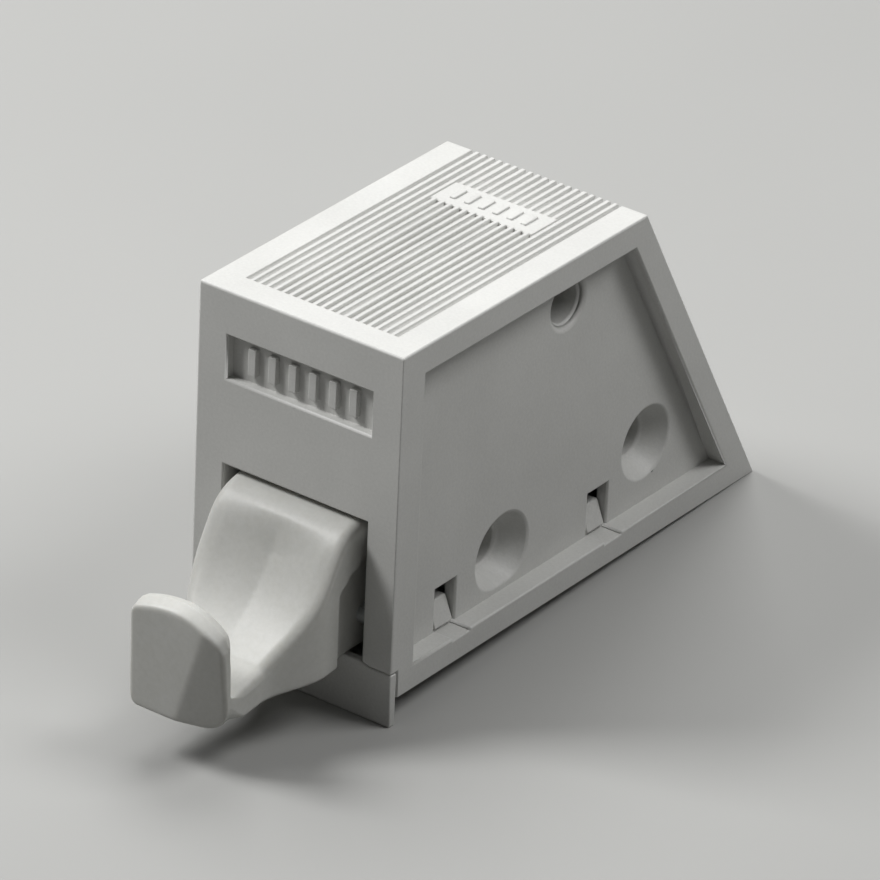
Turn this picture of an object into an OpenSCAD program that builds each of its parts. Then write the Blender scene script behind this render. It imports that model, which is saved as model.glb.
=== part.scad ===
// Push to open catch for a cabinet door.
// The body is screwed to the side of the cabinet by the three bores across it. A
// striker on the door pushes the hooked lever back until it locks. The next push
// lets go, and the spring throws the lever and the door forward again.
//
// Axes: X is across the body, Y runs back from the front face and Z is up.
// The origin is the middle of the front face at the bottom of the housing.
// Lengths are in millimetres and angles are in degrees.

/* [Housing] */
// Width of the body over the raised rims
body_w = 22.4; // [21.5:0.1:26]
// Height of the body
body_h = 34.2; // [34:0.1:40]
// Length of the top, from the front face to the rear edge
top_len = 36; // [35:0.5:42]
// Length of the bottom, from the front face to the rear edge
base_len = 55.7; // [55:0.1:62]
// Thickness of the recessed side walls
side_wall = 1.3; // [1:0.1:1.5]
// Thickness of the front wall
front_wall = 2.2; // [1.8:0.1:2.3]
// Thickness of the top wall under the grooves
top_wall = 2.2; // [1.5:0.1:2.6]
// Thickness of the sloping rear wall, measured level
rear_wall = 2.3; // [1.8:0.1:2.8]

/* [Side recess] */
// Depth of the recess in each side
recess_depth = 2; // [1.6:0.1:2.2]
// Width of the rim above the recess
rim_top = 2.8; // [2:0.1:3.4]
// Width of the rim below the recess
rim_bottom = 2.45; // [2:0.05:2.6]
// Width of the rim in front of the recess
rim_front = 3.4; // [3.3:0.1:4]
// Width of the rim behind the recess, measured level
rim_rear = 3.2; // [2.6:0.1:4]
// Radius where the recess floor turns into the bottom rim
recess_fillet = 1.8; // [1:0.1:1.9]

/* [Screw bores] */
// Diameter of the bores for the screws
screw_d = 4.2; // [3.6:0.1:4.6]
// Diameter of the sinks for the heads of the two lower screws
head_d = 8; // [7.5:0.1:8.2]
// Depth of the sinks for the heads of the two lower screws
head_depth = 3; // [2:0.1:3.5]
// Diameter of the shallow sink of the upper bore
top_head_d = 5.6; // [5.2:0.1:6.4]
// Depth of the shallow sink of the upper bore
top_head_depth = 1.2; // [0.6:0.1:2]
// Wall of the tube around each bore
boss_wall = 1; // [0.8:0.1:1.1]
// Distance of the front bore behind the front face
front_bore_y = 18.8; // [18.4:0.1:19.2]
// Height of the front bore
front_bore_z = 6.35; // [6.3:0.05:6.6]
// Distance of the rear bore behind the front face
rear_bore_y = 40.6; // [40.2:0.1:41]
// Height of the rear bore
rear_bore_z = 8.5; // [8.2:0.1:8.6]
// Distance of the upper bore behind the front face
top_bore_y = 27.2; // [26:0.1:28]
// Height of the upper bore
top_bore_z = 28.1; // [28.1:0.1:28.4]

/* [Front and top] */
// Width of the opening for the lever
mouth_w = 15.9; // [15.4:0.1:16]
// Height of the top of the opening
mouth_top = 16.95; // [16.9:0.05:17.2]
// Width of the label recess in the front
label_w = 15.9; // [12:0.1:16]
// Height of the label recess
label_h = 4.3; // [3:0.1:5]
// Height of the lower edge of the label recess
label_z = 25.5; // [24:0.1:26]
// Depth of the label recess
label_depth = 1; // [0.6:0.1:1.2]
// Plain raised bars in the label recess and on the top pad
bar_count = 6; // [3:1:8]
// Height that the front bars stand up from the floor of the recess
bar_rise = 0.5; // [0.2:0.1:0.6]
// Number of grooves along the top
groove_count = 20; // [12:1:22]
// Distance from one groove to the next
groove_pitch = 0.855; // [0.8:0.005:0.9]
// Width of a groove
groove_w = 0.42; // [0.3:0.02:0.5]
// Depth of a groove
groove_depth = 0.35; // [0.2:0.05:0.5]
// Plain margin in front of the grooves
groove_margin = 3; // [2:0.1:6]
// Width of the pad that crosses the grooves
pad_w = 11.2; // [8:0.1:14]
// Length of the pad that crosses the grooves
pad_len = 3.9; // [3:0.1:5]
// Distance of the pad behind the front face
pad_y = 26.05; // [20:0.05:28]

/* [Base] */
// Thickness of the flange across the front
flange_t = 0.85; // [0.6:0.05:1]
// Depth of the flange below the housing
flange_drop = 2.65; // [2:0.05:3]
// Height of the flange up the front face
flange_rise = 2.6; // [2.2:0.1:2.8]
// Thickness of the base plate
plate_t = 1.2; // [1:0.1:1.25]
// Width of the windows that the clips snap into
window_w = 3; // [2.6:0.1:3.4]
// Height of the windows
window_h = 4.3; // [3.8:0.1:4.6]
// Distance of the front windows behind the front face
front_clip_y = 10.45; // [10.2:0.05:10.8]
// Distance of the rear windows behind the front face
rear_clip_y = 33.4; // [33:0.1:33.6]

/* [Lever] */
// Distance of the pivot behind the front face
pivot_y = 2.1; // [2:0.05:2.2]
// Height of the pivot
pivot_z = 6.5; // [6.4:0.1:6.6]
// Diameter of the two steel pins
pin_d = 2; // [1.8:0.1:2.1]
// Radial play of the lever on its pin
pin_play = 0.06; // [0.03:0.01:0.1]
// Angle that the lever turns back to its locked place
lever_swing = 28; // [24:1:28]
// Width of the lever in the opening
lever_w = 14.4; // [14:0.1:15]
// Width of the hooked nose
nose_w = 10; // [9:0.1:10.4]
// Radius of the hood that closes the opening as the lever turns
hood_r = 10.2; // [10:0.05:10.25]
// Thickness of the hood and of the face that the striker meets
hood_t = 1.8; // [1.4:0.1:2]
// Angle from upright to the crest where the hood turns down into the face
crest_angle = 26; // [24:1:28]
// Distance of the fold at the foot of the face in front of the housing
fold_reach = 10.1; // [9.6:0.1:10.4]
// Height of the fold at the foot of the face
fold_z = 5.4; // [5:0.1:5.6]
// Depth of the hollow curve of the face
face_sag = 1; // [0.6:0.1:1.3]
// Distance that the nose reaches in front of the housing
nose_reach = 16.2; // [15.8:0.1:16.6]
// Height of the top of the hook
hook_top = 12.1; // [11:0.1:12.5]
// Height of the underside of the nose at its tip
nose_bottom = 1.2; // [0.8:0.1:1.4]
// Thickness of the hook
hook_t = 2.1; // [1.9:0.1:2.3]
// Angle of the facet that falls back on one side of the front of the hook
facet_angle = 11.5; // [6:0.5:13]
// Radius of the rounded corners of the hook
hook_r = 1.6; // [1:0.1:2]
// Length of the drive arm from the pivot to the drive pin
arm_len = 16; // [15.8:0.1:16.1]
// Angle of the drive arm behind upright, at rest
arm_angle = 11.9; // [11.5:0.1:12.1]
// Thickness of the drive arm
arm_t = 3.4; // [2.8:0.1:3.6]
// Width of the drive arm
arm_w = 5.6; // [5:0.1:5.8]

/* [Slide] */
// Height of the underside of the slide
slide_z = 15.6; // [15.5:0.1:15.8]
// Height of the slide
slide_h = 8.4; // [8.2:0.1:8.5]
// Length of the slide behind its fork
slide_len = 19; // [18.6:0.1:19.2]
// Depth of the heart track in the underside of the slide
track_depth = 1.6; // [1.2:0.1:1.8]
// Width of the lanes of the heart track
lane_w = 1.6; // [1.5:0.05:1.7]

/* [Follower and springs] */
// Distance of the post that carries the wire follower behind the front face
post_y = 31; // [30.9:0.05:31.1]
// Diameter of the wire of the follower
wire_d = 1; // [0.9:0.05:1.1]
// Length of the follower from its post to its tip
follower_len = 11.7; // [11.6:0.05:11.8]
// Angle that the follower swings along the outward lane
follower_swing = 20; // [18:1:20]
// Thickness of the leaf spring under the follower
leaf_t = 0.3; // [0.2:0.05:0.4]
// Diameter of the rod that guides the spring
rod_d = 2.5; // [2.2:0.1:2.6]
// Radial play of the slide on the rod
rod_play = 0.08; // [0.04:0.01:0.1]
// Mean diameter of the coils of the spring
coil_d = 4.9; // [4.6:0.1:5]
// Diameter of the wire of the spring
coil_wire_d = 0.6; // [0.5:0.05:0.7]
// Number of coils of the spring
coil_count = 9; // [7:1:10]

/* [Hidden] */
$fn = 64;

// The one overrun of every cut past the face that it opens
over = side_wall / 4;
// The play between pieces that lie against each other
play = side_wall / 13;

floor_x = body_w / 2 - recess_depth;
inner_x = floor_x - side_wall;
rake = (base_len - top_len) / body_h;
boss_r = head_d / 2 + boss_wall;
core_r = screw_d / 2 + boss_wall * 1.4;
window_z = rim_bottom;
pin_r = pin_d / 2;
seat_x = floor_x + recess_depth * 0.3;
pin_len = 2 * (seat_x - play);
pin_hole_x = min(inner_x, mouth_w / 2) - over;
ledge_t = side_wall;
ledge_w = side_wall * 1.2;
slide_play = play * 2;

// Where the lever turns, and the drive pin at rest and when locked
arm_y = pivot_y + arm_len * sin(arm_angle);
arm_z = pivot_z + arm_len * cos(arm_angle);
lock_y = pivot_y + arm_len * sin(arm_angle + lever_swing);
lock_z = pivot_z + arm_len * cos(arm_angle + lever_swing);
travel = lock_y - arm_y;

hub_r = pin_r * 3.3;
chin_z = nose_bottom + hook_t * 0.8;
skirt_angle = crest_angle / 4;

// The slide and its fork
slot_half = pin_r * 1.35;
slot_y = arm_y + pin_r * 0.1;
fork_wall = pin_r;
fork_y = slot_y - slot_half - fork_wall;
fork_bottom = lock_z - pin_r * 1.3;
fork_top = arm_z + pin_r * 2.2;
fork_gap = arm_w + 4 * slide_play;
fork_w = 2 * (inner_x - side_wall * 1.3);
arm_boss_r = pin_r * 2.2;
slide_y = arm_y + arm_boss_r + play * 6;
slide_end = slide_y + slide_len;
slide_w = 2 * (inner_x - slide_play * 1.5);
rod_z = slide_z + slide_h / 2;

// The spring between its pocket in the slide and its seat on the rear wall
coil_outer_r = coil_d / 2 + coil_wire_d / 2;
pocket_r = coil_outer_r + rod_d / 7;
pocket_depth = slide_len * 0.32;
pocket_y = slide_end - pocket_depth;
rod_front = pocket_y - rod_d * 0.9;
rod_bore_front = rod_front - travel - rod_d * 0.3;
seat_y = slide_end + travel + coil_wire_d * 7.5;
seat_w = pocket_r * 2;
rod_end = seat_y + rod_d * 1.1;

// The heart track, seen from below; places are measured from its start
tip_y = post_y - follower_len;
lock_x = follower_len * sin(follower_swing);
lock_rel = follower_len * (1 - cos(follower_swing)) - travel;
notch_rel = -travel * 0.62;
wire_z = slide_z - wire_d;
post_top = wire_z - wire_d * 0.9;
bend_r = wire_d;

// Flat shape of the body seen from its side: Y across, Z up
module body_side(front, rear, bottom, top) {
    polygon([
        [front, bottom],
        [base_len - rake * bottom - rear, bottom],
        [base_len - rake * top - rear, top],
        [front, top]
    ]);
}

// Turns a flat shape drawn in Y and Z into a solid centred on X
module across(width) {
    rotate([90, 0, 90]) linear_extrude(height = width, center = true) children();
}

// A straight cylinder across the body at a place given in Y and Z
module cross_rod(y, z, r, width) {
    translate([0, y, z])
        rotate([0, 90, 0])
            cylinder(h = width, r = r, center = true);
}

// A block centred on X, from y to y + length and from z to z + height
module block(width, y, length, z, height) {
    translate([-width / 2, y, z]) cube([width, length, height]);
}

// Copies what follows to both sides of the body
module both_sides() {
    children();
    mirror([1, 0, 0]) children();
}

// Sinks one side: the recess with its fillet along the bottom rim
module side_recess() {
    translate([floor_x, 0, 0]) difference() {
        rotate([90, 0, 90])
            linear_extrude(height = recess_depth + over)
                body_side(rim_front, rim_rear, rim_bottom, body_h - rim_top);
        translate([0, 0, rim_bottom]) rotate([-90, 0, 0]) difference() {
            translate([-over, -recess_fillet, 0])
                cube([recess_fillet + over, recess_fillet + over, base_len]);
            translate([recess_fillet, -recess_fillet, -over])
                cylinder(h = base_len + 2 * over, r = recess_fillet);
        }
    }
}

// The window for one clip, with its slot through the fillet to the rim
module window(y) {
    translate([inner_x - over, y - window_w / 2, window_z])
        cube([side_wall + over, window_w, window_h]);
    translate([floor_x - over, y - window_w * 0.42, window_z - play])
        cube([recess_depth + 2 * over, window_w * 0.84, recess_fillet + play]);
}

// A slot up from the bottom for one end of the pivot pin
module pin_seat() {
    translate([pin_hole_x, pivot_y, pivot_z])
        rotate([0, 90, 0])
            cylinder(h = seat_x - pin_hole_x, r = pin_r + play / 5);
    translate([pin_hole_x, pivot_y - pin_r * 0.75, -over])
        cube([seat_x - pin_hole_x, pin_r * 1.5, pivot_z + over]);
}

// One groove cut, centred on X
module groove_cut() {
    block(groove_w, groove_margin, top_len, body_h - groove_depth, groove_depth + over);
}

// A row of plain raised bars, centred on X, in the plane of X and Y
module bars(row_w, bar_h, rise) {
    step = row_w / bar_count;
    for (i = [0 : bar_count - 1])
        translate([(i - (bar_count - 1) / 2) * step, 0, 0])
            linear_extrude(height = rise)
                square([step * 0.4, bar_h], center = true);
}

module housing() {
    color("#B4B4B2") {
        difference() {
            union() {
                difference() {
                    across(body_w) body_side(0, 0, 0, body_h);
                    across(2 * inner_x)
                        body_side(front_wall, rear_wall, -over, body_h - top_wall);
                    both_sides() side_recess();
                }
                for (at = [[front_bore_y, front_bore_z], [rear_bore_y, rear_bore_z]]) {
                    cross_rod(at[0], at[1], core_r, 2 * inner_x + over);
                    both_sides() translate([floor_x - head_depth - boss_wall, at[0], at[1]])
                        rotate([0, 90, 0])
                            cylinder(h = head_depth + boss_wall - over, r = boss_r);
                }
                cross_rod(top_bore_y, top_bore_z, core_r, 2 * inner_x + over);
                both_sides() guide_ledges();
                spring_seat();
            }
            for (at = [[front_bore_y, front_bore_z], [rear_bore_y, rear_bore_z]]) {
                cross_rod(at[0], at[1], screw_d / 2, body_w);
                both_sides() translate([floor_x - head_depth, at[0], at[1]])
                    rotate([0, 90, 0])
                        cylinder(h = head_depth + recess_depth, r = head_d / 2);
            }
            cross_rod(top_bore_y, top_bore_z, screw_d / 2, body_w);
            both_sides() translate([floor_x - top_head_depth, top_bore_y, top_bore_z])
                rotate([0, 90, 0])
                    cylinder(h = top_head_depth + recess_depth, r = top_head_d / 2);
            both_sides() {
                window(front_clip_y);
                window(rear_clip_y);
                pin_seat();
            }
            block(mouth_w, -over, front_wall + 2 * over, -over, mouth_top + over);
            flange_seat();
            block(label_w, -over, label_depth + over, label_z, label_h);
            difference() {
                for (i = [0 : groove_count - 1])
                    translate([(i - (groove_count - 1) / 2) * groove_pitch, 0, 0])
                        groove_cut();
                block(pad_w, pad_y, pad_len, body_h - 2 * groove_depth, 4 * groove_depth);
            }
            translate([0, seat_y - over, rod_z])
                rotate([-90, 0, 0])
                    cylinder(h = rod_end - seat_y + over, r = rod_d / 2 + play / 5);
        }
        translate([0, label_depth, label_z + label_h / 2])
            rotate([90, 0, 0])
                bars(label_w * 0.84, label_h * 0.62, bar_rise);
        translate([0, pad_y + pad_len / 2, body_h])
            bars(pad_w * 0.84, pad_len * 0.5, groove_depth / 2);
    }
}

// Ledges inside one side wall that the slide runs between
module guide_ledges() {
    ledge_y = slide_y + ledge_t;
    ledge_len = seat_y - ledge_y;
    for (z = [slide_z - slide_play - ledge_t, slide_z + slide_h + slide_play])
        translate([inner_x - ledge_w, ledge_y, z])
            cube([ledge_w + over, ledge_len, ledge_t]);
}

// Block inside the rear wall that the spring pushes against
module spring_seat() {
    seat_low = rod_z - pocket_r;
    seat_high = rod_z + pocket_r;
    across(seat_w) polygon([
        [seat_y, seat_low],
        [base_len - rake * seat_low - rear_wall / 2, seat_low],
        [base_len - rake * seat_high - rear_wall / 2, seat_high],
        [seat_y, seat_high]
    ]);
}

// Outline of the front flange in X and Z, grown by a margin at its top
module flange_outline(grow) {
    half = body_w / 2;
    step_x = mouth_w / 2;
    polygon([
        [-half - grow, -flange_drop],
        [half + grow, -flange_drop],
        [half + grow, flange_rise + grow],
        [step_x + flange_t, flange_rise + grow],
        [step_x - flange_t / 3, flange_rise + flange_t * 0.4 + grow],
        [-step_x + flange_t / 3, flange_rise + flange_t * 0.4 + grow],
        [-step_x - flange_t, flange_rise + grow],
        [-half - grow, flange_rise + grow]
    ]);
}

// Room in the housing for the front flange
module flange_seat() {
    translate([0, flange_t + play / 2, 0])
        rotate([90, 0, 0])
            linear_extrude(height = flange_t + play / 2 + over)
                flange_outline(play / 2);
}

// One clip of the base: a tab with a barb that fills the foot of its window
module clip(y) {
    tab_x = inner_x - 2 * play;
    tab_t = side_wall;
    top_z = window_z + window_h * 0.86;
    clip_w = window_w * 0.86;
    translate([0, y + clip_w / 2, 0])
        rotate([90, 0, 0])
            linear_extrude(height = clip_w)
                polygon([
                    [tab_x - tab_t, plate_t / 2],
                    [tab_x, plate_t / 2],
                    [tab_x, window_z + play],
                    [floor_x, window_z + play],
                    [floor_x - side_wall * 0.7, top_z],
                    [tab_x - tab_t, top_z]
                ]);
}

module base_plate() {
    plate_w = 2 * (inner_x - 2 * play);
    plate_end = base_len - rake * plate_t - rear_wall - 4 * play;
    color("#ACACAA") difference() {
        union() {
            translate([0, flange_t, 0])
                rotate([90, 0, 0])
                    linear_extrude(height = flange_t)
                        flange_outline(0);
            block(plate_w, flange_t / 2, plate_end - flange_t / 2, 0, plate_t);
            both_sides() {
                clip(front_clip_y);
                clip(rear_clip_y);
                translate([plate_w / 2 - over, pivot_y - pin_r * 0.7, 0])
                    cube([
                        seat_x - play - plate_w / 2 + over,
                        pin_r * 1.4,
                        pivot_z - pin_r - play
                    ]);
            }
            block(plate_t, front_clip_y / 2, leaf_foot_y() - play - front_clip_y / 2,
                plate_t / 2, plate_t);
            block(plate_t, post_y, plate_end - front_clip_y / 2 - post_y, plate_t / 2, plate_t);
            translate([0, post_y, plate_t / 2])
                cylinder(h = post_top - plate_t / 2, r = wire_d * 2.2);
            translate([0, leaf_peg_y(), plate_t / 2])
                cylinder(h = plate_t / 2 + leaf_t * 3, r = leaf_peg_r());
        }
        translate([0, post_y, post_top - leg_len()])
            cylinder(h = leg_len() + over, r = wire_d / 2 + pin_play);
    }
}

// Depth of the follower's bore in its post
function leg_len() = wire_d * 6.5;
// Front end of the foot of the leaf spring
function leaf_foot_y() = post_y - wire_d * 7.8;
// Place and radius of the peg that holds the foot of the leaf spring
function leaf_peg_y() = post_y - wire_d * 4;
function leaf_peg_r() = wire_d * 0.7;

// Points along an arc in Y and Z. Angles run forward from upright.
function arc(centre, r, from, to, count) = [
    for (i = [0 : count])
        let (a = from + (to - from) * i / count)
        centre + r * [-sin(a), cos(a)]
];

// Point of the hollow face at share t of the way from the crest to the fold, moved
// into the lever by a margin. The face is a parabola below the straight line.
function face_point(t, margin) =
    let (
        crest = [pivot_y - hood_r * sin(crest_angle), pivot_z + hood_r * cos(crest_angle)],
        fold = [-fold_reach, fold_z],
        along = (crest - fold) / norm(crest - fold),
        inward = [along[1], -along[0]]
    )
    crest * (1 - t) + fold * t + inward * (face_sag * 4 * t * (1 - t) + margin);

// Side view of the lever without its arm and with its pocket filled
module lever_side() {
    pivot = [pivot_y, pivot_z];
    crest_in = crest_angle * 0.86;
    lip = hook_t * 0.3;
    difference() {
        union() {
            intersection() {
                translate(pivot) circle(r = hood_r);
                polygon(concat([pivot], arc(pivot, hood_r * 2, -skirt_angle, 3 * crest_angle, 4)));
            }
            translate(pivot) circle(r = hub_r);
            polygon([
                pivot,
                [-pivot_y, hook_top],
                [-nose_reach + lip, hook_top],
                [-nose_reach + lip / 3, hook_top - lip / 3],
                [-nose_reach, hook_top - lip],
                [-nose_reach + hook_t / 8, nose_bottom],
                [-nose_reach + hook_t * 1.3, nose_bottom + hook_t * 0.35],
                [-pivot_y, chin_z],
                [-pivot_y / 2, pivot_z - hub_r * 0.88]
            ]);
        }
        polygon(concat(
            [pivot + hood_r * 1.02 * [-sin(crest_in), cos(crest_in)]],
            [for (t = [0.04 : 0.08 : 1]) face_point(t, 0)],
            [
                [-nose_reach + hook_t, fold_z - hook_t * 0.45],
                [-nose_reach + hook_t, hood_r * 2]
            ]
        ));
    }
}

// Side view of the pocket that is cored out behind the face
module lever_pocket() {
    pivot = [pivot_y, pivot_z];
    floor_z = chin_z + hood_t * 1.3;
    face_side = [for (t = [0.15 : 0.08 : 0.66]) face_point(t, hood_t)];
    foot = face_side[len(face_side) - 1];
    floor_from = 100;
    floor_to = -20;
    polygon(concat(
        arc(pivot, hood_r - hood_t, -2 * skirt_angle, crest_angle * 0.55, 8),
        face_side,
        [[foot[0], floor_z]],
        arc(pivot, hub_r * 1.03, floor_from, floor_to, 10)
    ));
}

// Plan of the lever, which widens behind the nose in an S curve on each side
module lever_plan() {
    start = [nose_w / 2, -fold_reach];
    run = [lever_w / 2, -pivot_y * 1.5] - start;
    side = concat(
        [[nose_w / 2, -nose_reach - over], start],
        [for (t = [0.1 : 0.1 : 1]) start + [run[0] * t * t * (3 - 2 * t), run[1] * t]],
        [[lever_w / 2, hood_r * 2]]
    );
    polygon(concat(side, [for (i = [len(side) - 1 : -1 : 0]) [-side[i][0], side[i][1]]]));
}

// Front view of the hook: small round corners at the foot, larger ones at the top,
// and a top that is arched as a parabola
module hook_front() {
    half = nose_w / 2;
    foot_r = hook_r * 0.5;
    head_r = hook_r * 0.6;
    foot = [half - foot_r, nose_bottom + foot_r];
    head = [half - head_r, hook_top - hook_r * 1.34];
    right = concat(
        [for (a = [-90 : 15 : 0]) foot + foot_r * [cos(a), sin(a)]],
        [for (a = [0 : 15 : 60]) head + head_r * [cos(a), sin(a)]],
        [for (s = [0.75 : -0.15 : 0.1]) [half * s, hook_top - hook_r * s * s]]
    );
    polygon(concat(right, [for (i = [len(right) - 1 : -1 : 0]) [-right[i][0], right[i][1]]]));
}

// Takes the flat facet off the +X side of the front of the hook
module hook_facet() {
    lean = atan2(nose_w * 0.32, hook_top - nose_bottom);
    translate([0, -nose_reach, nose_bottom])
        rotate([0, lean, 0])
            rotate([0, 0, facet_angle])
                translate([0, -nose_w, -nose_w])
                    cube([nose_w * 2, nose_w, hook_top * 3]);
}

module catch_lever() {
    trim_y = -nose_reach + hook_t;
    pocket_w = nose_w - hood_t / 3;
    color("#D8D8D4") difference() {
        union() {
            difference() {
                intersection() {
                    across(lever_w + 2 * over) lever_side();
                    linear_extrude(height = body_h) lever_plan();
                }
                across(pocket_w) lever_pocket();
            }
            translate([0, pivot_y, pivot_z]) {
                rotate([-arm_angle, 0, 0])
                    translate([-arm_w / 2, -arm_t / 2, 0])
                        cube([arm_w, arm_t, arm_len]);
            }
            cross_rod(arm_y, arm_z, arm_boss_r, arm_w);
        }
        cross_rod(pivot_y, pivot_z, pin_r + pin_play, body_w);
        cross_rod(arm_y, arm_z, pin_r + play / 5, arm_w * 2);
        difference() {
            block(body_w, -nose_reach - over, trim_y + nose_reach + over, 0, body_h);
            translate([0, trim_y + over, 0])
                rotate([90, 0, 0])
                    linear_extrude(height = nose_reach)
                        hook_front();
        }
        intersection() {
            hook_facet();
            block(body_w, -nose_reach - over, hook_t, 0, body_h);
        }
    }
}

module lever_pivot_pin() {
    color("#9FA3A6") cross_rod(pivot_y, pivot_z, pin_r, pin_len);
}

module drive_pin() {
    color("#9FA3A6") cross_rod(arm_y, arm_z, pin_r, fork_w - 2 * play);
}

// One straight lane of the heart track between two places
module lane(from, to) {
    run = to - from;
    translate(from) circle(r = lane_w / 2);
    translate(to) circle(r = lane_w / 2);
    translate(from)
        rotate(atan2(run[1], run[0]))
            translate([0, -lane_w / 2])
                square([norm(run), lane_w]);
}

// The heart track: out to the lock, back to the notch, and home on the far side
module heart_track() {
    start = [0, tip_y];
    far_out = [lock_x, tip_y + lock_rel];
    notch = [lock_x * 0.1, tip_y + notch_rel];
    far_back = [-lock_x * 0.75, tip_y + lock_rel];
    overshoot = [0, -lane_w / 2];
    lane(start, far_out);
    lane(far_out, far_out + overshoot);
    lane(far_out, notch);
    lane(notch, far_back);
    lane(far_back, start);
}

module latch_slide() {
    color("#C9C5B6") difference() {
        union() {
            block(slide_w, slide_y, slide_len, slide_z, slide_h);
            block(fork_w, fork_y, slide_y - fork_y + over, fork_bottom, fork_top - fork_bottom);
        }
        block(fork_gap, fork_y - over, slide_y - fork_y + over, fork_bottom - over,
            fork_top - fork_bottom + 2 * over);
        block(fork_w + over, slot_y - slot_half, 2 * slot_half, fork_bottom - over,
            arm_z + slot_half - fork_bottom + over);
        translate([0, pocket_y, rod_z])
            rotate([-90, 0, 0])
                cylinder(h = pocket_depth + over, r = pocket_r);
        translate([0, rod_bore_front, rod_z])
            rotate([-90, 0, 0])
                cylinder(h = pocket_y - rod_bore_front + over, r = rod_d / 2 + rod_play);
        translate([0, 0, slide_z - over])
            linear_extrude(height = track_depth + over)
                heart_track();
    }
}

module cam_follower() {
    leg_bottom = post_top - leg_len() + wire_d / 2;
    leg_top = wire_z - bend_r;
    tip_top = slide_z + track_depth * 0.8;
    color("#9FA3A6") {
        translate([0, post_y, leg_bottom])
            cylinder(h = leg_top - leg_bottom, r = wire_d / 2, $fn = 24);
        translate([0, post_y - bend_r, leg_top])
            rotate([90, 0, 90])
                rotate_extrude(angle = 90)
                    translate([bend_r, 0])
                        circle(r = wire_d / 2, $fn = 24);
        translate([0, post_y - bend_r, wire_z])
            rotate([90, 0, 0])
                cylinder(h = follower_len - 2 * bend_r, r = wire_d / 2, $fn = 24);
        translate([0, tip_y + bend_r, wire_z + bend_r])
            rotate([90, 0, 90])
                rotate([0, 0, 180])
                    rotate_extrude(angle = 90)
                        translate([bend_r, 0])
                            circle(r = wire_d / 2, $fn = 24);
        translate([0, tip_y, wire_z + bend_r])
            cylinder(h = tip_top - wire_z - bend_r, r = wire_d / 2, $fn = 24);
    }
}

module follower_spring() {
    foot_front = leaf_foot_y();
    foot_rear = post_y - wire_d * 2.7;
    top_z = wire_z - wire_d / 2 - play;
    rest_y = foot_front + (foot_rear - foot_front) * 0.5;
    rest_len = wire_d * 1.4;
    foot_z = plate_t + play / 5;
    color("#A8ABAD") difference() {
        across(wire_d * 5.6) polygon([
            [foot_front, foot_z],
            [foot_rear, foot_z],
            [foot_rear, foot_z + leaf_t],
            [foot_front + leaf_t, foot_z + leaf_t],
            [rest_y + leaf_t, top_z - leaf_t],
            [rest_y + rest_len, top_z - leaf_t],
            [rest_y + rest_len, top_z],
            [rest_y, top_z]
        ]);
        translate([0, leaf_peg_y(), 0])
            cylinder(h = plate_t * 2, r = leaf_peg_r() + pin_play);
    }
}

// Points of one ring of the coil at turn t, counted in whole turns
function coil_ring(t, pitch_len, sides) = [
    for (s = [0 : sides - 1])
        let (
            a = 360 * t,
            b = 360 * s / sides,
            r = coil_d / 2 + coil_wire_d / 2 * cos(b)
        )
        [r * cos(a), pitch_len * t + coil_wire_d / 2 * sin(b), r * sin(a)]
];

module ejector_spring() {
    sides = 8;
    steps_per_turn = 20;
    rings = coil_count * steps_per_turn;
    coil_len = seat_y - pocket_y - coil_wire_d - 2 * play;
    pitch_len = coil_len / coil_count;
    points = [
        for (i = [0 : rings])
            each coil_ring(i / steps_per_turn, pitch_len, sides)
    ];
    walls = [
        for (i = [0 : rings - 1], s = [0 : sides - 1])
            let (a = i * sides, n = (s + 1) % sides)
            [a + s, a + n, a + sides + n, a + sides + s]
    ];
    front_cap = [for (s = [sides - 1 : -1 : 0]) s];
    rear_cap = [for (s = [0 : sides - 1]) rings * sides + s];
    color("#B9BCBE")
        translate([0, pocket_y + coil_wire_d / 2 + play, rod_z])
            polyhedron(points = points, faces = concat(walls, [front_cap], [rear_cap]));
}

module spring_guide_rod() {
    color("#9FA3A6")
        translate([0, rod_front, rod_z])
            rotate([-90, 0, 0])
                cylinder(h = rod_end - play - rod_front, r = rod_d / 2);
}

housing();
base_plate();
catch_lever();
lever_pivot_pin();
drive_pin();
latch_slide();
cam_follower();
follower_spring();
ejector_spring();
spring_guide_rod();
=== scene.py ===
"""A push to open catch for a cabinet door, dressed for a product picture.

Lengths are written in millimetres and go into the meshes in metres. X is across the
body, Y runs back from its front face and Z is up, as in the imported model.
"""

from __future__ import annotations

import logging
import math
from dataclasses import dataclass, field
from enum import Enum

import bmesh
import bpy
import numpy as np
from mathutils import Matrix, Vector


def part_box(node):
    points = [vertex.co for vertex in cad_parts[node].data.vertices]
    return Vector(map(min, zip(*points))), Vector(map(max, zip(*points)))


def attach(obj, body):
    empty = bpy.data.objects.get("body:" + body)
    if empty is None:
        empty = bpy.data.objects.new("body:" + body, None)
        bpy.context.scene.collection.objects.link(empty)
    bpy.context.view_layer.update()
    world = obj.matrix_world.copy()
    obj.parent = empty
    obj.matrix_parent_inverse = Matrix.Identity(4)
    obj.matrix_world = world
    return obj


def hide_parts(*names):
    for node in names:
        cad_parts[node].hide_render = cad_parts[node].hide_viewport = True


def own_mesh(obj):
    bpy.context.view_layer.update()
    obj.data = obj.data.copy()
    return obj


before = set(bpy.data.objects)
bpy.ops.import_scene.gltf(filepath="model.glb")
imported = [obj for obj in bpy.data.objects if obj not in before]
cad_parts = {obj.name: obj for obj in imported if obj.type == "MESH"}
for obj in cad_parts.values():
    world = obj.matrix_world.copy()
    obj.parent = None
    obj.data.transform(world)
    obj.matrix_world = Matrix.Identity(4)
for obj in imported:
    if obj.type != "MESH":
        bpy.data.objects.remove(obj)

MM = 0.001
# Two measures this near count as one, in millimetres
NEAR = 0.02
# Points this close are doubles, in millimetres
DOUBLE = 0.0005
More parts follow.
